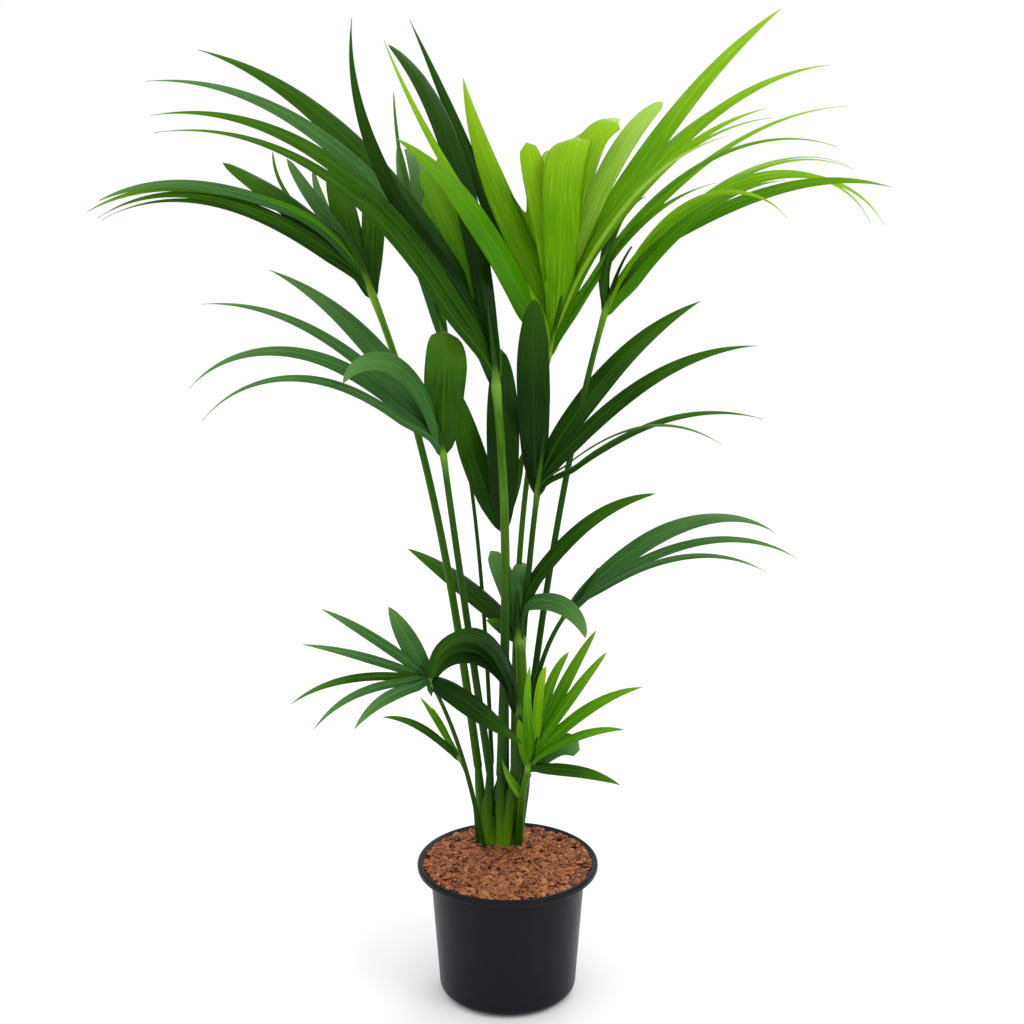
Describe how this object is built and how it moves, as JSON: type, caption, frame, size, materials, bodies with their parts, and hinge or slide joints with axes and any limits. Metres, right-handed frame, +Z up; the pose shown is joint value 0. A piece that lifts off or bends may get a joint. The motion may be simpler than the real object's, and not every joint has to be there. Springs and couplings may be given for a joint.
{
  "type": "potted kentia palm",
  "caption": "Tall potted kentia palm: slender green stems and arching feathered fronds rising from bark potting mix in a round nursery pot.",
  "frame": {"origin": "middle of the flat underside of the pot", "axes": "+Z up through the pot and the plant, +X to the right and -Y to the front as the plant is shown"},
  "size_m": [1.1111, 0.7796, 1.4342],
  "materials": {
    "pot": "satin moulded",
    "potting_mix": "rough bark and coir chips",
    "stem": "smooth green leaf sheaths",
    "frond_rib": "smooth green stalk",
    "leaf_dark": "satin leaf",
    "leaf_mid": "satin leaf",
    "leaf_bright": "satin leaf",
    "leaf_lime": "satin leaf"
  },
  "bodies": {
    "root": {"basal_left_frond_leaflets_1": "leaf_bright", "basal_left_frond_rib": "frond_rib", "basal_right_frond_leaflets_1": "leaf_bright", "basal_right_frond_leaflets_2": "leaf_bright", "basal_right_frond_leaflets_3": "leaf_bright", "basal_right_frond_leaflets_4": "leaf_bright", "basal_right_frond_rib": "frond_rib", "folded_frond_leaflets_1": "leaf_dark", "folded_frond_rib": "frond_rib", "front_left_frond_leaflets_1": "leaf_dark", "front_left_frond_leaflets_2": "leaf_dark", "front_left_frond_leaflets_3": "leaf_dark", "front_left_frond_rib": "frond_rib", "inner_frond_leaflets_1": "leaf_dark", "inner_frond_rib": "frond_rib", "left_stem": "stem", "lime_frond_leaflets_1": "leaf_lime", "lime_frond_leaflets_2": "leaf_lime", "lime_frond_leaflets_3": "leaf_lime", "lime_frond_leaflets_4": "leaf_lime", "lime_frond_leaflets_5": "leaf_lime", "lime_frond_leaflets_6": "leaf_lime", "lime_frond_leaflets_7": "leaf_lime", "lime_frond_rib": "frond_rib", "lower_inner_frond_leaflets_1": "leaf_mid", "lower_inner_frond_leaflets_2": "leaf_mid", "lower_inner_frond_leaflets_3": "leaf_mid", "lower_inner_frond_rib": "frond_rib", "lower_left_frond_leaflets_1": "leaf_mid", "lower_left_frond_leaflets_2": "leaf_mid", "lower_left_frond_leaflets_3": "leaf_mid", "lower_left_frond_rib": "frond_rib", "lower_right_frond_leaflets_1": "leaf_dark", "lower_right_frond_rib": "frond_rib", "middle_left_frond_leaflets_1": "leaf_mid", "middle_left_frond_leaflets_2": "leaf_mid", "middle_left_frond_leaflets_3": "leaf_mid", "middle_left_frond_leaflets_4": "leaf_mid", "middle_left_frond_rib": "frond_rib", "middle_right_frond_leaflets_1": "leaf_dark", "middle_right_frond_leaflets_2": "leaf_dark", "middle_right_frond_leaflets_3": "leaf_dark", "middle_right_frond_leaflets_4": "leaf_dark", "middle_right_frond_rib": "frond_rib", "middle_stem": "stem", "outer_left_frond_leaflets_1": "leaf_mid", "outer_left_frond_leaflets_2": "leaf_mid", "outer_left_frond_leaflets_3": "leaf_mid", "outer_left_frond_rib": "frond_rib", "outer_right_frond_leaflets_1": "leaf_mid", "outer_right_frond_leaflets_2": "leaf_mid", "outer_right_frond_leaflets_3": "leaf_mid", "outer_right_frond_leaflets_4": "leaf_mid", "outer_right_frond_rib": "frond_rib", "pot": "pot", "potting_mix": "potting_mix", "rear_left_frond_leaflets_1": "leaf_mid", "rear_left_frond_leaflets_2": "leaf_mid", "rear_left_frond_rib": "frond_rib", "right_stem": "stem"}
  },
  "joints": []
}
